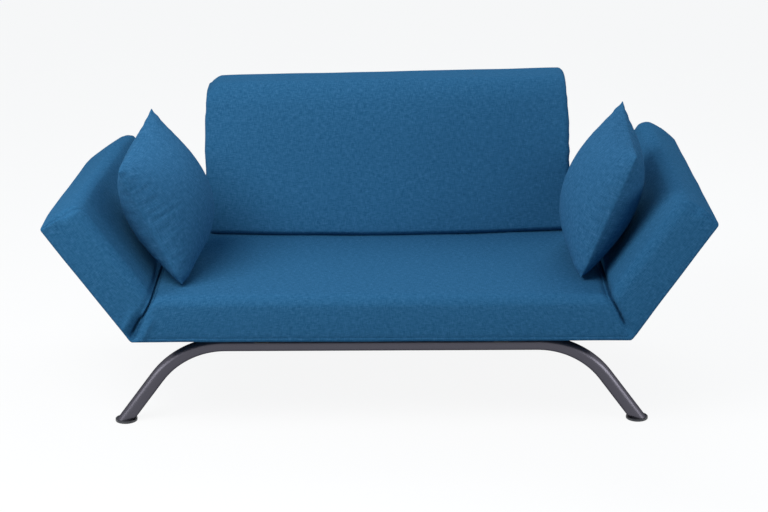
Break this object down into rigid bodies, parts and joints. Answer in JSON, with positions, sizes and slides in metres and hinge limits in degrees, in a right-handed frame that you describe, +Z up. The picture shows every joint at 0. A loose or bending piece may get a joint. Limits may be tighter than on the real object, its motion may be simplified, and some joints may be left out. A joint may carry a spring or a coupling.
{
  "type": "click clack sofa bed",
  "caption": "Daybed sofa on bent-tube legs: a mattress whose end sections fold up on ratchet hinges as arms, with a loose wedge back cushion and scatter cushions.",
  "frame": {"origin": "on the floor, below the middle of the whole sofa as pictured, with both arms up", "axes": "+X along the seat to the right arm, +Y from the front to the back, +Z up"},
  "size_m": [1.6878, 0.806, 0.7935],
  "materials": {
    "fabric": "matte",
    "pillow_fabric": "matte",
    "foam": "matte",
    "tube_steel": "satin",
    "frame_steel": "satin",
    "zinc": "satin",
    "beech": "satin",
    "plastic": "matte"
  },
  "bodies": {
    "base": {"front_leg_bow": "tube_steel", "rear_leg_bow": "tube_steel", "front_left_foot": "plastic", "front_right_foot": "plastic", "rear_left_foot": "plastic", "rear_right_foot": "plastic", "left_cross_bar": "frame_steel", "right_cross_bar": "frame_steel", "seat_front_rail": "frame_steel", "seat_rear_rail": "frame_steel", "seat_left_end_rail": "frame_steel", "seat_right_end_rail": "frame_steel", "seat_slat_1": "beech", "seat_slat_2": "beech", "seat_slat_3": "beech", "seat_slat_4": "beech", "seat_foam": "foam", "seat_cover": "fabric", "front_left_bolt": "zinc", "front_left_pivot_rivet": "zinc", "front_left_pawl_spring": "zinc", "front_left_hinge_fork": "frame_steel", "rear_left_bolt": "zinc", "rear_left_pivot_rivet": "zinc", "rear_left_pawl_spring": "zinc", "rear_left_hinge_fork": "frame_steel", "front_right_bolt": "zinc", "front_right_pivot_rivet": "zinc", "front_right_pawl_spring": "zinc", "front_right_hinge_fork": "frame_steel", "rear_right_bolt": "zinc", "rear_right_pivot_rivet": "zinc", "rear_right_pawl_spring": "zinc", "rear_right_hinge_fork": "frame_steel"},
    "left_arm": {"left_arm_cover": "fabric", "left_arm_foam": "foam", "left_arm_board": "beech", "left_arm_front_rail": "frame_steel", "left_arm_rear_rail": "frame_steel", "left_arm_inner_end_rail": "frame_steel", "left_arm_outer_end_rail": "frame_steel", "front_left_ratchet_plate": "zinc", "rear_left_ratchet_plate": "zinc"},
    "right_arm": {"right_arm_cover": "fabric", "right_arm_foam": "foam", "right_arm_board": "beech", "right_arm_front_rail": "frame_steel", "right_arm_rear_rail": "frame_steel", "right_arm_inner_end_rail": "frame_steel", "right_arm_outer_end_rail": "frame_steel", "front_right_ratchet_plate": "zinc", "rear_right_ratchet_plate": "zinc"},
    "front_left_pawl": {"front_left_pawl": "zinc"},
    "front_right_pawl": {"front_right_pawl": "zinc"},
    "rear_left_pawl": {"rear_left_pawl": "zinc"},
    "rear_right_pawl": {"rear_right_pawl": "zinc"},
    "left_pillow": {"left_pillow": "pillow_fabric"},
    "right_pillow": {"right_pillow": "pillow_fabric"},
    "back_cushion": {"back_cushion_foam": "foam", "back_cushion_cover": "fabric"}
  },
  "joints": [
    {"name": "right_arm_fold", "type": "hinge", "parent": "base", "child": "right_arm", "pos_m": [0.638, 0, 0.275], "axis": [0, 1, 0], "range_deg": [-3, 56]},
    {"name": "left_arm_fold", "type": "hinge", "parent": "base", "child": "left_arm", "pos_m": [-0.638, 0, 0.275], "axis": [0, -1, 0], "range_deg": [-3, 56]},
    {"name": "right_pillow_lift", "type": "slide", "parent": "right_arm", "child": "right_pillow", "axis": [-0.829, 0, 0.5592], "range_m": [0, 0.25]},
    {"name": "left_pillow_lift", "type": "slide", "parent": "left_arm", "child": "left_pillow", "axis": [0.829, 0, 0.5592], "range_m": [0, 0.25]},
    {"name": "back_cushion_lift", "type": "slide", "parent": "base", "child": "back_cushion", "axis": [0, 0, 1], "range_m": [0, 0.3]},
    {"name": "front_right_pawl_swing", "type": "hinge", "parent": "base", "child": "front_right_pawl", "pos_m": [0.594, -0.308, 0.299], "axis": [0, -1, 0], "range_deg": [0, 12], "stiffness_Nm_per_rad": 0.05, "springref_deg": -11.46},
    {"name": "front_left_pawl_swing", "type": "hinge", "parent": "base", "child": "front_left_pawl", "pos_m": [-0.594, -0.308, 0.299], "axis": [0, 1, 0], "range_deg": [0, 12], "stiffness_Nm_per_rad": 0.05, "springref_deg": -11.46},
    {"name": "rear_right_pawl_swing", "type": "hinge", "parent": "base", "child": "rear_right_pawl", "pos_m": [0.594, 0.308, 0.299], "axis": [0, -1, 0], "range_deg": [0, 12], "stiffness_Nm_per_rad": 0.05, "springref_deg": -11.46},
    {"name": "rear_left_pawl_swing", "type": "hinge", "parent": "base", "child": "rear_left_pawl", "pos_m": [-0.594, 0.308, 0.299], "axis": [0, 1, 0], "range_deg": [0, 12], "stiffness_Nm_per_rad": 0.05, "springref_deg": -11.46}
  ]
}
